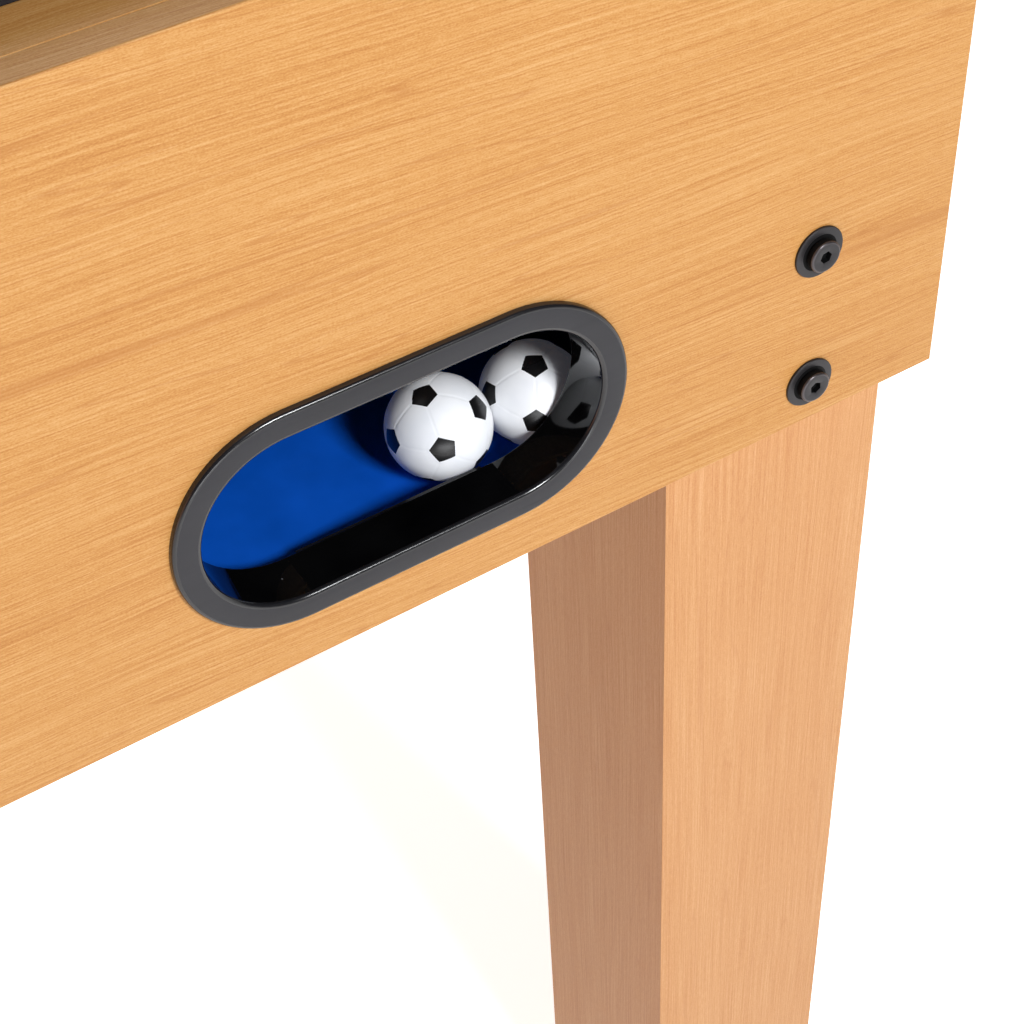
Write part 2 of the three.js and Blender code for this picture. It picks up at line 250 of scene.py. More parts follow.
def moulded(name, colour, roughness, texture=0.00002, speckle=0.0, painted_shade_walls=None, **constants):
    """Moulded plastic: slight tone drift, a fine mould texture, faint scuffs and stray dust.

    The optional wall colour is painted shade: it darkens the faces that don't look up, where it
    differs from the rest.
    """
    part = Finish(name, **constants)
    drift = part.noise(part.place, (40, 40, 40), 3)
    grain = part.noise(part.place, (2600, 2600, 2600), 2, 0.6)
    scuffs = part.noise(part.place, (18, 140, 300), 5, 0.7)
    darker = tuple(channel * 0.86 for channel in colour[:3]) + (1,)
    lighter = tuple(min(1, channel * 1.12 + 0.002) for channel in colour[:3]) + (1,)
    tinted = part.ramp(drift, (0.3, darker), (0.7, lighter))
    if speckle:
        cells = part.node("TexVoronoi", {"Vector": part.place, "Scale": DUST_CELLS})
        dust = part.ramp(cells.outputs["Distance"], (0.011, speckle), (0.021, 0.0))
        tinted = part.mix(dust, tinted, DUST_COLOUR)
    # painted shade: faces that don't look up take the darker wall colour
    if painted_shade_walls:
        tinted = part.mix(part.facing_up(), painted_shade_walls, tinted)
    part.link("Base Color", tinted)
    part.link("Roughness", part.ramp(scuffs, (0.35, roughness * 0.88), (0.62, roughness),
                                     (0.74, min(1, roughness * 1.25 + 0.02))))
    part.bump(grain, texture, 0.6)
    return part.material


def metal(name, colour, roughness, metallic=1.0, brushed=(30, 30, 30), pits=0.00001, **constants):
    """Metal with a cloudy tone and a roughness streaked at the brushed scale."""
    part = Finish(name, Metallic=metallic, **constants)
    streaks = part.noise(part.place, brushed, 4, 0.6)
    cloud = part.noise(part.place, (120, 120, 120), 3)
    dull = tuple(channel * 0.8 for channel in colour[:3]) + (1,)
    part.link("Base Color", part.ramp(cloud, (0.3, dull), (0.7, colour)))
    part.link("Roughness", part.ramp(streaks, (0.3, roughness * 0.75), (0.7, roughness * 1.35)))
    part.bump(streaks, pits, 0.5)
    return part.material


STRIPE = 0.1042  # width of the pitch's light and dark bands


def playfield_green():
    """Printed pitch on raw board: stripes across the table and a fine speckled grass print."""
    field = Finish("playfield_green", Specular_IOR_Level=0.28)
    along = field.node("SeparateXYZ", {0: field.place}).outputs[1]
    stripe = field.math("PINGPONG", field.math("MULTIPLY", along, 1 / STRIPE), 1.0)
    band = field.ramp(stripe, (0.485, linear(24, 108, 52)), (0.515, linear(38, 130, 64)))
    blades = field.noise(field.place, (700, 1100, 700), 3, 0.7)
    speck = field.ramp(blades, (0.35, linear(16, 92, 42)), (0.65, linear(52, 150, 78)))
    chips = field.noise(field.place, (420, 420, 420), 4, 0.7)
    raw = field.ramp(chips, (0.35, linear(128, 98, 66)), (0.65, linear(186, 152, 110)))
    field.link("Base Color", field.mix(field.facing_up(), raw, field.mix(0.35, band, speck)))
    field.link("Roughness", field.ramp(blades, (0.3, 0.62), (0.7, 0.5)))
    field.bump(blades, 0.00003, 0.4)
    return field.material


def floor_material():
    """Pale floor that glows a little, so that it stays white behind the table."""
    pale = Finish("studio_floor", Roughness=0.8, Emission_Color=(1, 0.975, 0.955, 1),
                  Emission_Strength=0.75)
    cloud = pale.noise(pale.place, (2, 2, 2), 2)
    dim, bright = (0.93, 0.93, 0.935, 1), (0.96, 0.96, 0.96, 1)
    pale.link("Base Color", pale.ramp(cloud, (0.3, dim), (0.7, bright)))
    return pale.material


MAPLE_END = maple("maple_end_panels", "x", tilt=(0, math.radians(-2.9), 0), shift=(0.3, 0.2, 0.1))
MAPLE_SIDE = maple("maple_side_panels", "y", tilt=(0, math.radians(-1.5), 0), shift=(0.9, 0.4, 0.6))
MAPLE_LEG = maple("maple_legs", "z", shift=(0.1, 0.7, 0.35), wave=0.7, contrast=0.95,
                  tones=LEG_TONES)
MAPLE_COVER = maple("maple_cover_boards", "x", tilt=(0, 0, math.radians(1.2)),
                    shift=(0.5, 0.9, 0.2))
RAW_BOARD = particle_board()
SATIN_BLACK = moulded("satin_black_plastic", linear(18, 18, 25), 0.46, Specular_IOR_Level=0.4)
EDGE_BLACK = moulded("polished_edge_plastic", linear(22, 22, 25), 0.2, texture=0.000003,
                     Specular_IOR_Level=0.55)
TUBE_BLACK = moulded("worn_tube_plastic", linear(4, 4, 5), 0.4, speckle=0.4, Specular_IOR_Level=0.0)
TUBE_GLOSS = moulded("polished_tube_plastic", linear(4, 4, 5), 0.05, texture=0.000002, speckle=0.4,
                     Specular_IOR_Level=0.36)
# the tray's walls are painted near-black as painted shade inside the tray
TRAY_BLUE = moulded("blue_tray_plastic", linear(1, 83, 195), 0.62, texture=0.00004, speckle=0.5,
                    painted_shade_walls=linear(7, 8, 12), Specular_IOR_Level=0.12)
# the small emission on the white balls is painted light: a glow that lifts their shaded side
BALL_WHITE = moulded("white_ball_plastic", linear(243, 246, 252), 0.34, texture=0.000004,
                     Specular_IOR_Level=0.3, Emission_Color=linear(226, 232, 255),
                     Emission_Strength=0.03)
BALL_BLACK = moulded("black_ball_print", linear(13, 12, 14), 0.3, texture=0.000008)
BLACK_STEEL = metal("black_oxide_steel", linear(46, 44, 46), 0.38, 0.5)
# near-black steel that is painted shade: bolt heads' sides and sockets, and the ring on each washer
# round the neck
STEEL_PAINTED_SHADE = metal("steel_painted_shade", linear(9, 9, 10), 0.7, 0.0, Specular_IOR_Level=0.15)
STEEL_RIM = metal("worn_rim", linear(82, 78, 80), 0.3, 0.7)
CHROME = metal("chromed_tube", linear(205, 207, 210), 0.12, brushed=(1500, 30, 30), pits=0.000002)
RUBBER = moulded("black_rubber", linear(30, 30, 31), 0.62, texture=0.00004)
FIELD_GREEN = playfield_green()
PRINT_WHITE = moulded("white_print", linear(232, 235, 232), 0.45)
TEAM = {"near": moulded("red_player_plastic", linear(184, 26, 34), 0.3),
        "far": moulded("blue_player_plastic", linear(26, 62, 160), 0.3)}
SKIN = moulded("painted_skin", linear(214, 160, 122), 0.42)
HAIR = moulded("painted_hair", linear(38, 26, 20), 0.5)


# ------------------------------------------------------------------ mesh building, in millimetres
def rounded(*corners, steps=4):
    """A closed 2-D outline from (x, y, radius) corners; each corner with a radius is an arc."""
    outline = []
    for index, (x, y, radius) in enumerate(corners):
        here = Vector((x, y))
        if not radius:
            outline.append((x, y))
            continue
        back = (Vector(corners[index - 1][:2]) - here).normalized()
        ahead = (Vector(corners[(index + 1) % len(corners)][:2]) - here).normalized()
        half = back.angle(ahead) / 2
        centre = here + (back + ahead).normalized() * radius / math.sin(half)
        start = here + back * radius / math.tan(half) - centre
        end = here + ahead * radius / math.tan(half) - centre
        sweep = math.copysign(math.pi - 2 * half, start.x * end.y - start.y * end.x)
        for step in range(steps + 1):
            angle = sweep * step / steps
            outline.append((centre.x + start.x * math.cos(angle) - start.y * math.sin(angle),
                            centre.y + start.x * math.sin(angle) + start.y * math.cos(angle)))
    return outline


def circle(count):
    return [2 * math.pi * step / count for step in range(count)]


def turned(outline, count=48, shape=None):
    """Rings about Z from (radius, height) pairs; shape(angle, radius, height) changes a radius."""
    rings = []
    for radius, height in outline:
        radii = [shape(angle, radius, height) if shape else radius for angle in circle(count)]
        rings.append([(reach * math.cos(angle), reach * math.sin(angle), height)
                      for reach, angle in zip(radii, circle(count))])
    return rings


def hexagon(half_across):
    """A shape for turned(): cuts a round outline down to a hexagon of this half width."""
    def shape(angle, radius, height):
        sector = (angle + math.pi / 6) % (math.pi / 3) - math.pi / 6
        return min(radius, half_across / math.cos(sector))
    return shape


class Shell:
    """Collects the points and faces of one piece. paint is a material index."""

    def __init__(self):
        self.points = []
        self.faces = []
        self.paints = []

    def loft(self, rings, paint=0, loop=False):
        """Skins the rings; both ends are closed, or the last ring is joined to the first."""
        start, count = len(self.points), len(rings[0])
        for ring in rings:
            self.points.extend(Vector(point) for point in ring)
        for row in range(len(rings) if loop else len(rings) - 1):
            low = start + row * count
            high = start + (row + 1) % len(rings) * count
            for k in range(count):
                after = (k + 1) % count
                self.faces.append((low + k, low + after, high + after, high + k))
                self.paints.append(paint(row, k) if callable(paint) else paint)
        if not loop:
            for ring, row in ((0, 0), (len(rings) - 1, len(rings) - 2)):
                first = start + ring * count
                self.faces.append(tuple(range(first, first + count)))
                self.paints.append(paint(row, 0) if callable(paint) else paint)
        return self

    def moved(self, matrix):
        self.points = [matrix @ point for point in self.points]
        return self

    def joined(self, other, paint=0):
        start = len(self.points)
        self.points += other.points
        self.faces += [tuple(index + start for index in face) for face in other.faces]
        self.paints += [number + paint for number in other.paints]
        return self


CREASE = math.radians(38)  # edges that turn by more than this stay sharp


def build(name, shell, body, slot, finishes, place, stands_for=()):
    """Makes the shell into an object that rides on a body; place is a matrix in metres."""
    matrix = place @ Matrix.Scale(MM, 4)
    mesh = bpy.data.meshes.new(name)
    mesh.from_pydata([matrix @ point for point in shell.points], [], shell.faces)
    for finish in finishes:
        mesh.materials.append(finish)
    mesh.polygons.foreach_set("material_index", shell.paints)
    work = bmesh.new()
    work.from_mesh(mesh)
    bmesh.ops.remove_doubles(work, verts=work.verts, dist=1e-7)
    bmesh.ops.recalc_face_normals(work, faces=work.faces)
    for face in work.faces:
        face.smooth = True
    for edge in work.edges:
        if len(edge.link_faces) == 2 and edge.calc_face_angle(0) > CREASE:
            edge.smooth = False
    work.to_mesh(mesh)
    work.free()
    piece = bpy.data.objects.new(name, mesh)
    bpy.context.collection.objects.link(piece)
    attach(piece, body)
    if stands_for:
        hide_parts(*stands_for)


def body_of(node):
    return NODES[node]["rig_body"]


def dress(node, finish, edge):
    """Gives a CAD node its material and, with modifiers only, slightly eased edges."""
    piece = NODES[node]
    if piece.material_slots:
        piece.material_slots[0].material = finish
    else:
        piece.data.materials.append(finish)
    weld = piece.modifiers.new("weld", "WELD")
    weld.merge_threshold = 1e-6
    ease = piece.modifiers.new("eased_edges", "BEVEL")
    ease.width = edge
    ease.segments = 3
    ease.limit_method = "ANGLE"
    ease.angle_limit = math.radians(50)
    ease.harden_normals = True


# ------------------------------------------------------------------ ball-return trim
ARC_X = 37.8  # centres of the mouth's two round ends, from its middle


def stadium_stations(count=40):
    """(centre x, angle) round the mouth: the right end's arc, then the left end's."""
    right = [(ARC_X, -math.pi / 2 + math.pi * step / count) for step in range(count + 1)]
    left = [(-ARC_X, math.pi / 2 + math.pi * step / count) for step in range(count + 1)]
    return right + left


def ball_return_trim(end):
    open_r, tube_r, flange_r = 32.0, 34.2, 41.5
    proud, tube_end = 2.5, 16.4
    profile = rounded(
        (flange_r, 0.0, 0), (flange_r, -proud, 1.3), (open_r, -proud, 1.5), (open_r, tube_end, 0.5),
        (tube_r, tube_end, 0.5), (tube_r, 0.0, 0), steps=6)
    stations = stadium_stations()
    rings = [[(cx + radius * math.cos(a), depth, radius * math.sin(a)) for cx, a in stations]
             for radius, depth in profile]

    def paint(row, k):
        """0 on the flat face, 1 on the rounded edges, 2 on the tube and 3 on its round ends."""
        (radius, depth), (after, deeper) = profile[row], profile[(row + 1) % len(profile)]
        if abs(deeper - depth) < 3:
            return 0 if abs(radius - after) > 3 else 1
        return 3 if stations[k][0] == stations[(k + 1) % len(stations)][0] else 2

    shell = Shell().loft(rings, loop=True, paint=paint)
    tab_half, tab_front, tab_back, tab_top = 34, tube_end - 1, tube_end + 1.5, -tube_r + 1.6
    tab = rounded((tab_front, -tube_r, 0), (tab_back, -tube_r, 0.3), (tab_back, tab_top, 0.4),
                  (tab_front, tab_top, 0))
    shell.joined(Shell().loft([[(x, y, z) for y, z in tab] for x in (-tab_half, tab_half)]), 1)
    build(f"{end}_return_trim", shell, "cabinet", "black_plastic",
          [SATIN_BLACK, EDGE_BLACK, TUBE_BLACK, TUBE_GLOSS],
          ENDS[end] @ Matrix.Translation(MOUTH), (f"{end}_ball_return_trim",))


# ------------------------------------------------------------------ balls
def icosahedron():
    golden = (1 + math.sqrt(5)) / 2
    corners = []
    for one in (-1, 1):
        for other in (-golden, golden):
            corners += [Vector((0, one, other)), Vector((one, other, 0)), Vector((other, 0, one))]
    return [corner.normalized() for corner in corners]


BALL_R = 18.0
PRINTED_SHARE = 0.2576  # the pentagons' corner radius over the ball's radius
SEAM_DEPTH = 0.13


def ball_shell():
    """Twelve printed pentagons round the icosahedron's corners, and moulded seams between them."""
    corners = icosahedron()
    spread = math.acos(1 / math.sqrt(5))
    printed = math.asin(PRINTED_SHARE) / spread

    def neighbours(a, b):
        return corners[a].angle(corners[b]) < spread + 0.1

    edges = [(a, b) for a in range(12) for b in range(a) if neighbours(a, b)]
    triples = [(a, b, c) for a in range(12) for b in range(a) for c in range(b)
               if neighbours(a, b) and neighbours(b, c) and neighbours(a, c)]
    work = bmesh.new()
    vertices = {}

    def vertex(key, point):
        if key not in vertices:
            vertices[key] = work.verts.new(point)
        return vertices[key]

    def near(a, b):
        return vertex((a, b), corners[a].slerp(corners[b], printed))

    for a, b, c in triples:
        tips = [vertex(i, corners[i]) for i in (a, b, c)]
        for tip, (i, j, k) in zip(tips, ((a, b, c), (b, c, a), (c, a, b))):
            work.faces.new((tip, near(i, j), near(i, k))).material_index = 1
        middle = vertex((a, b, c), (corners[a] + corners[b] + corners[c]).normalized())
        rim = [near(a, b), near(b, a), near(b, c), near(c, b), near(c, a), near(a, c)]
        for first, second in zip(rim, rim[1:] + rim[:1]):
            work.faces.new((middle, first, second))
    for _ in range(4):
        bmesh.ops.triangulate(work, faces=work.faces)
        bmesh.ops.subdivide_edges(work, edges=work.edges, cuts=1, use_grid_fill=True)
        for point in work.verts:
            point.co.normalize()
    bmesh.ops.triangulate(work, faces=work.faces)
    shell = Shell()
    seams = [(corners[a], corners[b], corners[a].cross(corners[b]).normalized()) for a, b in edges]

    def groove(direction):
        """1 in the middle of a seam, a third of that round each pentagon, 0 elsewhere."""
        depth = 0.0
        for one, two, pole in seams:
            away = abs(direction.dot(pole))
            if away < 0.05:
                along = min(direction.angle(one), direction.angle(two))
                inside = direction.dot(one + two) > 0.9 * (one + two).length * math.cos(spread / 2)
                if inside and along > printed * spread:
                    depth = max(depth, math.exp(-((away / 0.012) ** 2)))
        for corner in corners:
            gap = direction.angle(corner) - 1.22 * printed * spread
            depth = max(depth, 0.35 * math.exp(-((gap / 0.014) ** 2)))
        return depth

    for point in work.verts:
        shell.points.append(point.co * (BALL_R - SEAM_DEPTH * groove(point.co)))
    work.verts.index_update()
    for face in work.faces:
        shell.faces.append(tuple(point.index for point in face.verts))
        shell.paints.append(face.material_index)
    work.free()
    return shell


def balls():
    """Both balls, each with its own turn of the pattern."""
    turns = {"left_ball": (159.1, -73.3, 54.5), "right_ball": (-155.9, -46.0, -66.1)}
    for node, degrees in turns.items():
        low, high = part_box(node)
        spin = Euler([math.radians(angle) for angle in degrees]).to_matrix().to_4x4()
        build(f"{node}_with_pattern", ball_shell(), body_of(node), "white_ball_plastic",
              [BALL_WHITE, BALL_BLACK], Matrix.Translation((low + high) / 2) @ spin, (node,))


# ------------------------------------------------------------------ bolts
def washer_shell():
    """Painted 0 where it is open to view and 1 in a painted shadow ring round the bolt's neck."""
    outline = rounded((3.3, 0, 0.2), (9.6, 0, 0.2), (9.6, 1.0, 0.3), (6.9, 1.0, 0),
                      (3.3, 1.0, 0.3))
    # rows from here inward are a painted contact shadow round the head
    painted_shadow_row = outline.index((6.9, 1.0))
    return Shell().loft(turned(outline), lambda row, _: int(row >= painted_shadow_row), loop=True)


def bolt_shell():
    """Socket head on a neck, with its side and socket painted in shade, a bright rim and a flat
    face, and the shank.
    """
    side = [(3.0, 1.0), (5.2, 1.0), (5.2, 1.5), (5.75, 1.7), (5.9, 2.0), (5.9, 3.7)]
    rim = rounded((5.9, 3.7, 0), (5.9, 4.5, 0.75), (0, 4.5, 0), steps=6)[1:-1]
    socket = turned([(3, 4.25), (3, 2.2)], shape=hexagon(2.0)) + turned([(1.6, 1.9), (0.5, 1.7)])
    rim_end = len(side) + len(rim) - 1

    def paint(row, _):
        # paint 0 is painted shade, on the head's side and in the socket
        if row > rim_end + 1 or row < len(side) - 1:
            return 0
        return 1 if row < rim_end else 2

    head = Shell().loft(turned(side + rim + [(2.75, 4.5)]) + socket, paint)
    return head.joined(Shell().loft(turned([(3.0, 1.2), (3.0, -50.0), (2.4, -51.0)])))


def bolts():
    """Each bolt head stands for its CAD node; each head has its own washer."""
    for end in ENDS:
        for side in ("left", "right"):
            for level in ("upper", "lower"):
                node = f"{end}_{side}_{level}_bolt"
                low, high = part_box(node)
                face = FACE_Y if end == "near" else -FACE_Y
                middle = Matrix.Translation(((low.x + high.x) / 2, face, (low.z + high.z) / 2))
                place = middle @ ENDS[end] @ OUT_OF_END
                spin = Matrix.Rotation(random.uniform(0, math.pi / 3), 4, "Z")
                build(f"{node}_head", bolt_shell(), "cabinet", "black_steel",
                      [STEEL_PAINTED_SHADE, STEEL_RIM, BLACK_STEEL], place @ spin, (node,))
                build(f"{node}_washer", washer_shell(), "cabinet", "black_steel",
                      [BLACK_STEEL, STEEL_PAINTED_SHADE], place)


# ------------------------------------------------------------------ cabinet
def cabinet():
    """The CAD nodes that are shown as they are."""
    for end in ENDS:
        dress(f"{end}_end_panel", MAPLE_END, 0.0006)
        dress(f"{end}_goal_wall", MAPLE_COVER, 0.0005)
        dress(f"{end}_cover_board", MAPLE_COVER, 0.0006)
        dress(f"{end}_ball_tray", TRAY_BLUE, 0.0008)
        dress(f"{end}_scorer_rail", SATIN_BLACK, 0.0004)
        dress(f"{end}_scorer_marker", TEAM[end], 0.0007)
        for side in ("left", "right"):
            dress(f"{end}_{side}_leg", MAPLE_LEG, 0.0005)
    for side in ("left", "right"):
        dress(f"{side}_side_panel", MAPLE_SIDE, 0.0006)
    dress("playfield", FIELD_GREEN, 0.0004)
    dress("playfield_support_beam", RAW_BOARD, 0.0006)


def foot_shell():
    """A rubber pad with a steel nut and thread above it."""
    pad = rounded((0, 0, 0), (18.6, 0, 1.2), (20, 2.5, 1), (20, 6, 1.2), (16.5, 8, 1), (9, 8, 0.3),
                  (9, 8.6, 0), (0, 8.6, 0))[1:-1]
    nut = turned([(8.2, 8.4), (9.0, 9.0), (9.0, 13.1), (8.2, 13.7)], shape=hexagon(7.9))
    thread = [(5.0 - 0.5 * (step % 2), 13.6 + 0.6 * step) for step in range(36)]
    shell = Shell().loft(turned(pad, 64)).joined(Shell().loft(nut), 1)
    return shell.joined(Shell().loft(turned(thread, 32)), 1)


def levelling_feet():
    for end in ENDS:
        for side in ("left", "right"):
            node = f"{end}_{side}_levelling_foot"
            low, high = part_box(node)
            place = Matrix.Translation(((low.x + high.x) / 2, (low.y + high.y) / 2, low.z))
            build(f"{node}_pad", foot_shell(), body_of(node), "black_plastic",
                  [RUBBER, BLACK_STEEL], place, (node,))


def goal_frames():
    """A moulded black frame round each goal mouth, on the pitch side of the goal wall."""
    half, height, rim, foot, chamfer = 95.0, 78.0, 5.0, 0.3, 0.6
    rings = []
    for proud, inset in ((0.05, 0.0), (1.1, 0.0), (1.6, chamfer)):
        outer, top = half + rim - inset, height + rim - inset
        inner, lintel = half + inset, height + inset
        outline = ((-outer, foot), (-outer, top), (outer, top), (outer, foot), (inner, foot),
                   (inner, lintel), (-inner, lintel), (-inner, foot))
        rings.append([(x, proud, z) for x, z in outline])
    for end, turn in ENDS.items():
        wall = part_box(f"{end}_goal_wall")
        face = abs(wall[1].y if end == "near" else wall[0].y)
        build(f"{end}_goal_mouth_frame", Shell().loft(rings), "cabinet", "black_plastic",
              [SATIN_BLACK], turn @ Matrix.Translation((0, -face, FIELD_TOP)))


LINE_WIDTH, PRINT_THICKNESS = 3.5, 0.12
PRINT_LAYER = 0.008  # each mark lies this much higher than the last, so that crossings stay clean


def strip(points, closed=False):
    """A flat printed line along 2-D points."""
    rings = []
    count = len(points)
    for index, point in enumerate(points):
        here = Vector(point)
        back = here - Vector(points[index - 1]) if index or closed else None
        ahead = Vector(points[(index + 1) % count]) - here if index < count - 1 or closed else None
        steps = [step for step in (back, ahead) if step is not None]
        sides = [Vector((-step.y, step.x)).normalized() for step in steps]
        side = sum(sides, Vector((0, 0)))
        side = side / side.dot(sides[0]) * LINE_WIDTH / 2
        rings.append([(*(here + side), 0), (*(here + side), PRINT_THICKNESS),
                      (*(here - side), PRINT_THICKNESS), (*(here - side), 0)])
    return Shell().loft(rings, loop=closed)


def spot(radius):
    return Shell().loft(turned([(radius, 0), (radius, PRINT_THICKNESS)], 32))


def arc(y, radius, start, end, count=40):
    """Points of an arc round (0, y)."""
    angles = [start + (end - start) * k / count for k in range(count + 1)]
    return [(radius * math.cos(angle), y + radius * math.sin(angle)) for angle in angles]


def pitch_print():
    """Border, halfway line, centre circle, both areas, spots and corner arcs, a layer each."""
    low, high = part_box("playfield")
    border = 12
    wide, long = (high.x - low.x) * 500 - border, (high.y - low.y) * 500 - border
    circle_r, spot_distance, area_depth = 82, 135, 190
    marks = [strip([(-wide, -long), (wide, -long), (wide, long), (-wide, long)], closed=True),
             strip([(-wide, 0), (wide, 0)]),
             strip(arc(0, circle_r, 0, 2 * math.pi)[:-1], closed=True),
             spot(6)]
    for sign in (-1, 1):
        goal = sign * long
        for half, depth in ((170, area_depth), (110, 85)):
            front = goal - sign * depth
            marks.append(strip([(-half, goal), (-half, front), (half, front), (half, goal)]))
        centre = goal - sign * spot_distance
        marks.append(spot(4.5).moved(Matrix.Translation((0, centre, 0))))
        bow_r = 70
        reach = math.acos((area_depth - spot_distance) / bow_r)
        outward = math.pi / 2 * -sign
        marks.append(strip(arc(centre, bow_r, outward - reach, outward + reach)))
        for side in (-1, 1):
            marks.append(strip(corner_arc(side * wide, goal, -side, -sign)))
    shell = Shell()
    for layer, mark in enumerate(marks):
        shell.joined(mark.moved(Matrix.Translation((0, 0, PRINT_LAYER * layer))))
    build("playfield_lines", shell, "cabinet", "playfield_print", [PRINT_WHITE],
          Matrix.Translation((0, 0, FIELD_TOP + 0.00002)))


def corner_arc(x, y, along, up, radius=24, count=12):
    """A quarter circle inside a corner of the pitch."""
    steps = [math.pi / 2 * k / count for k in range(count + 1)]
    return [(x + along * radius * math.cos(a), y + up * radius * math.sin(a)) for a in steps]


def ball_entries():
    """A round black cup ring in the ball entry hole of each side panel."""
    for side in ("left", "right"):
        low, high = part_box(f"{side}_side_panel")
        inner = min(abs(low.x), abs(high.x)) * 1000
        outer = inner + BOARD * 1000
        open_r, sleeve_r, flange_r = 19.5, 21.7, 26.5
        profile = rounded((sleeve_r, inner - 1.0, 0.3), (sleeve_r, outer + 0.05, 0),
                          (flange_r, outer + 0.05, 0), (flange_r, outer + 2.2, 1),
                          (open_r, outer + 2.2, 1), (open_r, inner - 1.0, 0.3))
        turn = ENDS["near" if side == "right" else "far"]
        build(f"{side}_ball_entry_ring", Shell().loft(turned(profile, 64), loop=True), "cabinet",
              "black_plastic", [EDGE_BLACK],
              Matrix.Translation((0, 0, ENTRY_HOLE_HEIGHT)) @ turn @ TO_X)


DIGIT_SIZE, DIGIT_HALF_THICKNESS = 0.0085, 0.00008


def number_shell(number):
    """The outline of a plain number, as a thin solid."""
    curve = bpy.data.curves.new(f"digit_{number}", "FONT")
    curve.body = str(number)
    curve.size = DIGIT_SIZE
    curve.align_x = "CENTER"
    curve.align_y = "CENTER"
    curve.extrude = DIGIT_HALF_THICKNESS
    outline = bpy.data.objects.new(f"digit_{number}_outline", curve)
    bpy.context.collection.objects.link(outline)
    settled = outline.evaluated_get(bpy.context.evaluated_depsgraph_get())
    made = bpy.data.meshes.new_from_object(settled)
    bpy.data.objects.remove(outline)
    shell = Shell()
    shell.points = [point.co * 1000 for point in made.vertices]
    shell.faces = [tuple(face.vertices) for face in made.polygons]
    shell.paints = [0] * len(shell.faces)
    return shell


SCORE_STEP = 0.02


def scorer_digits():
    """The numbers 0 to 10 at the marker's stops, raised a little on the rail."""
    for end, turn in ENDS.items():
        low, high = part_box(f"{end}_scorer_rail")
        low_marker, high_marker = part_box(f"{end}_scorer_marker")
        start = (low_marker.x + high_marker.x) / 2
        step = SCORE_STEP if end == "near" else -SCORE_STEP
        for number in range(11):
            place = Matrix.Translation((start + step * number, (low.y + high.y) / 2,
                                        high.z + 0.00009))
            build(f"{end}_score_{number}", number_shell(number), "cabinet", "black_plastic",
                  [PRINT_WHITE], place @ turn)


# ------------------------------------------------------------------ rods and players
# players on each kind of rod, and the distance between them
ROD_KINDS = {"goalie": (3, 190), "defence": (2, 260), "attack": (3, 165), "midfield": (5, 104)}
ROD_R, HALF_MAN, BUMPER = 6.35, 12.0, 20.0
ROD_FREE_END, ROD_HANDLE_END = -442, 516.3


def section(z, half_x, back, front, power=3.0, groove=0.0, count=32):
    """One level ring of a player: a rounded rectangle, with a groove between the legs if asked."""
    ring = []
    for angle in circle(count):
        c, s = math.cos(angle), math.sin(angle)
        x = half_x * math.copysign(abs(c) ** (2 / power), c)
        y = (front - back) / 2 * math.copysign(abs(s) ** (2 / power), s)
        ring.append((x, (back + front) / 2 + y * (1 - groove * math.exp(-(x / 1.8) ** 2)), z))
    return ring


PLAYER_LEVELS = (
    # height, half width, back, front, squareness, groove, paint
    (-62.0, 8.0, -7.0, 11.0, 4, 0.0, 4), (-61.4, 8.8, -7.8, 12.2, 5, 0.0, 4),
    (-56.5, 8.8, -7.8, 12.6, 5, 0.0, 4), (-54.6, 8.4, -7.2, 11.4, 4, 0.1, 4),
    (-53.6, 7.6, -6.6, 6.4, 3, 0.3, 2), (-50.0, 7.4, -6.4, 5.0, 3, 0.35, 2),
    (-42.0, 8.0, -7.2, 5.0, 3, 0.35, 2), (-36.0, 8.1, -7.0, 5.2, 3, 0.35, 2),
    (-35.0, 7.7, -6.6, 4.9, 3, 0.35, 1), (-28.0, 7.9, -6.2, 6.0, 3, 0.3, 1),
    (-20.0, 8.6, -6.8, 6.2, 3, 0.25, 1), (-18.6, 8.8, -7.0, 6.4, 3, 0.2, 1),
    (-18.0, 10.0, -8.6, 8.0, 3, 0.12, 3), (-12.0, 9.8, -8.6, 8.0, 3, 0.08, 3),
    (-7.0, 9.2, -7.6, 7.4, 3, 0.0, 3), (-6.4, 9.6, -7.9, 7.7, 3, 0.0, 0),
    (0.0, 9.6, -7.9, 7.6, 3, 0.0, 0), (8.0, 10.2, -8.2, 7.8, 3, 0.0, 0),
    (15.0, 11.2, -8.0, 7.2, 2.8, 0.0, 0), (19.5, 10.9, -6.8, 5.8, 2.6, 0.0, 0),
    (22.6, 8.6, -5.4, 4.4, 2.4, 0.0, 0), (24.2, 5.0, -4.2, 3.6, 2.2, 0.0, 1),
    (25.2, 3.9, -3.6, 3.4, 2, 0.0, 1), (27.4, 3.8, -3.6, 3.4, 2, 0.0, 1),
)


HAIR_TILT = Matrix.Rotation(math.radians(40), 3, "X")


def skull_ring(degrees, size=1.0, tilt=Matrix.Identity(3)):
    """A ring of the egg-shaped head, this many degrees from the crown, or from the tilted crown."""
    radius, height = math.sin(math.radians(degrees)), math.cos(math.radians(degrees))
    ring = []
    for angle in circle(32):
        x, y, z = tilt @ Vector((radius * math.cos(angle), radius * math.sin(angle), height))
        ring.append((6.4 * size * x, 7.2 * size * y - 0.2, 33.6 + 7.8 * size * z))
    return ring


ARM_LEVELS = (
    # x, y, height, radius
    (9.9, 0.0, 17.5, 2.2), (10.4, 0.0, 15, 2.7), (9.9, -1.0, 6, 2.3), (9.6, 1.2, -4, 1.9),
    (9.8, 3.0, -13, 1.7), (9.6, 3.6, -17, 1.9), (9.4, 4.0, -19.6, 1.1),
)


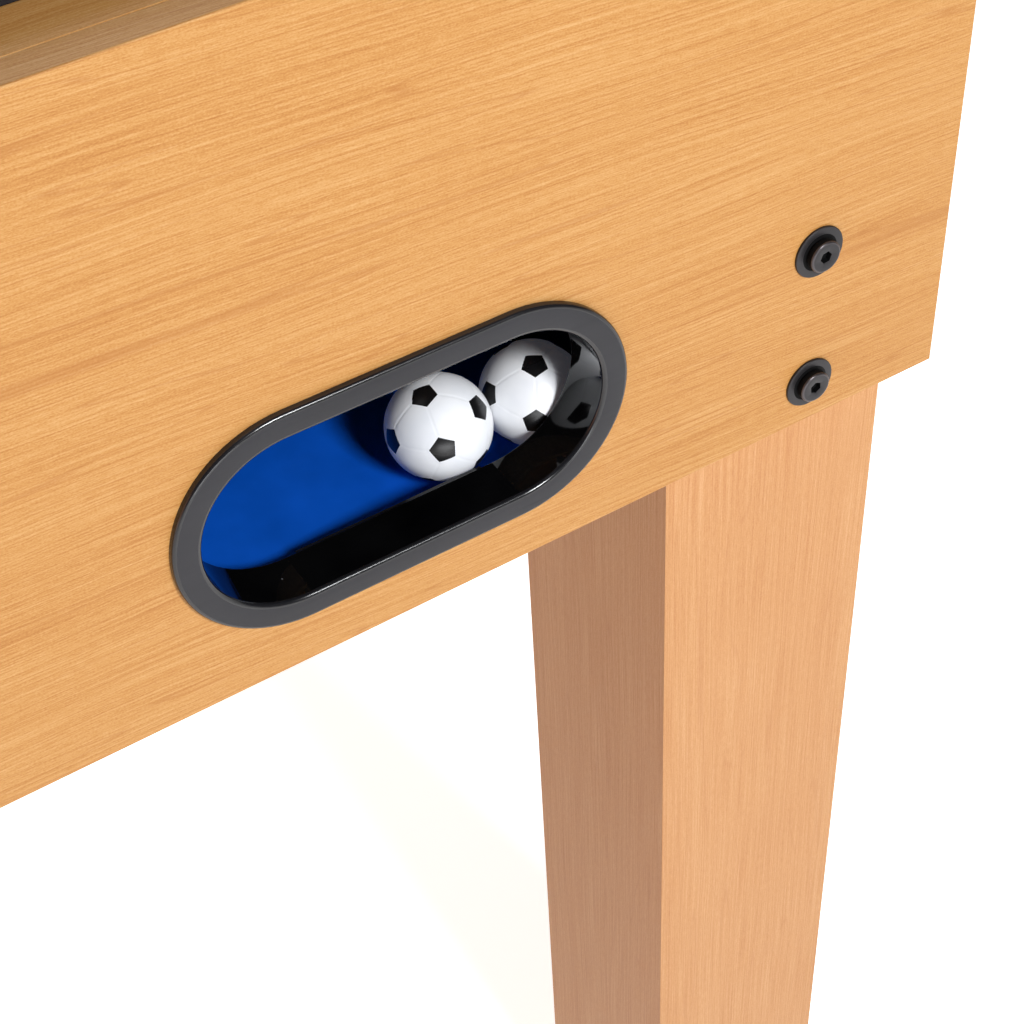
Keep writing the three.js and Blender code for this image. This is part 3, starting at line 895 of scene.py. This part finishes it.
def player_shell():
    """A moulded figure; the paints are shirt, skin, socks, shorts, boots, hair and screw."""
    body = Shell().loft([section(z, w, back, front, power, groove)
                         for z, w, back, front, power, groove, _ in PLAYER_LEVELS],
                        paint=lambda row, k: PLAYER_LEVELS[row][6])
    boss = rounded((0, -HALF_MAN, 0), (8.7, -HALF_MAN, 1), (8.7, HALF_MAN, 1), (0, HALF_MAN, 0))
    body.joined(Shell().loft(turned(boss[1:-1], 32)).moved(TO_X))
    for side in (-1, 1):
        rings = [[(side * x + r * math.cos(a), y + r * math.sin(a), z) for a in circle(14)]
                 for x, y, z, r in ARM_LEVELS]
        body.joined(Shell().loft(rings, paint=lambda row, k: 0 if row < 2 else 1))
    body.joined(Shell().loft([skull_ring(degrees) for degrees in range(168, 0, -12)]), 1)
    hair_levels = (91, 84, 72, 60, 48, 36, 24, 12, 4)
    hair = [skull_ring(93, 1.0, HAIR_TILT)]
    hair += [skull_ring(degrees, 1.045, HAIR_TILT) for degrees in hair_levels]
    body.joined(Shell().loft(hair), 5)
    nose = Shell().loft(turned([(1.0, 5.6), (0.9, 7.2), (0.35, 8.0)], 12))
    body.joined(nose.moved(Matrix.Translation((0, 0, 32.6)) @ OUT_OF_END.inverted()), 1)
    screw = turned([(2.4, 6.5), (2.4, 9.2), (1.9, 9.9), (0.9, 10.1), (0.85, 9.4), (0.3, 9.4)], 20)
    return body.joined(Shell().loft(screw).moved(OUT_OF_END), 6)


def rod_shell():
    profile = rounded((0, ROD_FREE_END, 0), (ROD_R, ROD_FREE_END, 0.6),
                      (ROD_R, ROD_HANDLE_END, 0.6), (0, ROD_HANDLE_END, 0))
    return Shell().loft(turned(profile[1:-1])).moved(TO_X)


def end_cap_shell():
    outer, neck = ROD_FREE_END - 1.4, ROD_FREE_END + 5
    profile = rounded((0, outer, 0), (7.3, outer, 2.2), (7.3, neck, 0.4), (ROD_R, neck, 0),
                      (0, neck, 0))
    return Shell().loft(turned(profile[1:-1], 32)).moved(TO_X)


def bumper_shell():
    """A rubber bumper with three round grooves."""
    profile = [(ROD_R, 0), (10.8, 0), (11.7, 0.5), (12, 1.4)]
    for middle in (5.5, 10, 14.5):
        profile += [(12, middle - 1.5), (11.5, middle - 1), (10.6, middle - 0.5),
                    (10.6, middle + 0.5), (11.5, middle + 1), (12, middle + 1.5)]
    profile += [(12, 18.6), (11.7, 19.5), (10.8, BUMPER), (ROD_R, BUMPER)]
    return Shell().loft(turned(profile), loop=True).moved(TO_X)


def bearing_shell(bore, neck):
    """A rod bearing: a flange on each side of the panel, and the neck between them."""
    inner, outer, flange = 13.0, 15.0, 4.0
    inside = (HALF_WIDTH - BOARD) * 1000 - 0.3
    outside = HALF_WIDTH * 1000 + 0.3
    profile = rounded((bore, inside - flange, 0.5), (inner, inside - flange, 1.2),
                      (inner, inside, 0), (neck, inside, 0), (neck, outside, 0),
                      (outer, outside, 0), (outer, outside + 1.6, 0.5),
                      (outer - 2.6, outside + flange, 1.0), (bore, outside + flange, 0.6))
    return Shell().loft(turned(profile, 64), loop=True).moved(TO_X)


GRIP_START = 440.3
GRIP_OUTLINE = (
    # radius, distance from the collar
    (10.2, 0), (11, 0.6), (14.2, 5.5), (15, 8), (15, 10.5), (13.6, 12), (13.4, 14), (14.2, 17),
    (14.8, 24), (15.8, 40), (16.4, 60), (16.4, 76), (16, 90), (15.4, 96), (14.6, 98), (14.5, 100),
    (14.9, 101.6), (14.6, 104), (13, 107), (10, 109.2), (5, 110.0), (0.6, 110.0),
)


def handle_shell():
    """A soft grip with eight shallow flutes, a waist behind the collar and a domed end."""
    bore, bore_end = 6.85, GRIP_START + 78.0

    def flutes(angle, radius, height):
        fade_in = min(1, max(0, (height - GRIP_START - 17) / 6))
        fade_out = min(1, max(0, (GRIP_START + 97 - height) / 6))
        return radius * (1 - 0.055 * fade_in * fade_out * (0.5 + 0.5 * math.cos(8 * angle)) ** 2)

    bore_wall = [(0.6, bore_end), (bore, bore_end), (bore, GRIP_START)]
    profile = bore_wall + [(radius, GRIP_START + reach) for radius, reach in GRIP_OUTLINE]
    return Shell().loft(turned(profile, 96, flutes)).moved(TO_X)


def rods():
    """Each rod with its players, bumpers, cap and grip, and the bearings it runs in."""
    for rod in [node for node in NODES if node.endswith("_rod_with_players")]:
        name = rod[:-len("_rod_with_players")]
        team, kind = name.split("_")
        men, spacing = ROD_KINDS[kind]
        low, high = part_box(f"{name}_bearing")
        place = Matrix.Translation((0, (low.y + high.y) / 2, (low.z + high.z) / 2)) @ ENDS[team]
        body, slot = body_of(rod), f"{team}_rod_set"
        build(f"{name}_chromed_rod", rod_shell(), body, slot, [CHROME], place, (rod,))
        build(f"{name}_rod_end_cap", end_cap_shell(), body, slot, [RUBBER], place)
        shorts = PRINT_WHITE if team == "near" else SATIN_BLACK
        finishes = [TEAM[team], SKIN, TEAM[team], shorts, SATIN_BLACK, HAIR, BLACK_STEEL]
        for man in range(men):
            x = (man - (men - 1) / 2) * spacing
            build(f"{name}_player_{man + 1}", player_shell(), body, slot, finishes,
                  place @ Matrix.Translation((x * MM, 0, 0)))
        shoulder = (men - 1) / 2 * spacing + HALF_MAN
        for side, x in (("handle", shoulder), ("free", -shoulder - BUMPER)):
            build(f"{name}_{side}_side_bumper", bumper_shell(), body, slot, [RUBBER],
                  place @ Matrix.Translation((x * MM, 0, 0)))
        build(f"{name}_grip", handle_shell(), body_of(f"{name}_handle"), "black_rubber",
              [RUBBER], place, (f"{name}_handle",))
        build(f"{name}_bearing_flange", bearing_shell(6.8, 10.0), body_of(f"{name}_bearing"),
              "black_plastic", [EDGE_BLACK], place, (f"{name}_bearing",))
        build(f"{name}_free_side_bearing", bearing_shell(6.75, 6.95), "cabinet",
              "black_plastic", [EDGE_BLACK], place @ ENDS["far"])


# ------------------------------------------------------------------ studio
AMBIENT, BACKDROP = 0.03, 0.9  # strength of the white world for the lighting and for the camera
LAMPS = {
    # place, size, power, colour
    "key": ((0.36, -2.26, 1.78), (0.5, 0.5), 44.5, (0.97, 0.985, 1.0)),
    "front": ((-0.5, -2.7, 0.46), (1.2, 0.4), 9.5, (0.95, 0.97, 1.0)),
    "side": ((-2.9, -0.9, 0.9), (1.4, 1.4), 11, (1.0, 0.42, 0.22)),
    "top": ((-0.4, 0.1, 3.0), (2.0, 2.0), 9, (1.0, 1.0, 1.0)),
    "back": ((0.9, 2.4, 1.7), (1.8, 1.4), 45, (1.0, 1.0, 1.0)),
}
LAMP_AIM = Vector((0.1, -0.6, 0.64))


def studio():
    """A pale floor, a white world and five soft lamps."""
    bpy.ops.mesh.primitive_plane_add(size=60, location=(0, 0, CAD_BOX[0][2]))
    floor = bpy.context.object
    floor.name = "studio_floor"
    floor.data.materials.append(floor_material())
    world = bpy.data.worlds.new("studio")
    world.use_nodes = True
    background = world.node_tree.nodes["Background"]
    background.inputs[0].default_value = (1, 1, 1, 1)
    seen = world.node_tree.nodes.new("ShaderNodeLightPath").outputs["Is Camera Ray"]
    level = world.node_tree.nodes.new("ShaderNodeMapRange")
    level.inputs["To Min"].default_value = AMBIENT
    level.inputs["To Max"].default_value = BACKDROP
    world.node_tree.links.new(seen, level.inputs["Value"])
    world.node_tree.links.new(level.outputs[0], background.inputs[1])
    bpy.context.scene.world = world
    for name, (place, size, power, colour) in LAMPS.items():
        lamp = bpy.data.objects.new(name, bpy.data.lights.new(name, "AREA"))
        lamp.data.shape = "RECTANGLE"
        lamp.data.size, lamp.data.size_y = size
        lamp.data.energy = power
        lamp.data.color = colour
        lamp.location = place
        aim = LAMP_AIM - Vector(place)
        lamp.rotation_euler = aim.to_track_quat("-Z", "Y").to_euler()
        bpy.context.collection.objects.link(lamp)
    bpy.context.scene.view_settings.view_transform = "Standard"


random.seed(7)
make_camera()
studio()
cabinet()
for table_end in ENDS:
    ball_return_trim(table_end)
balls()
bolts()
levelling_feet()
goal_frames()
pitch_print()
ball_entries()
scorer_digits()
rods()
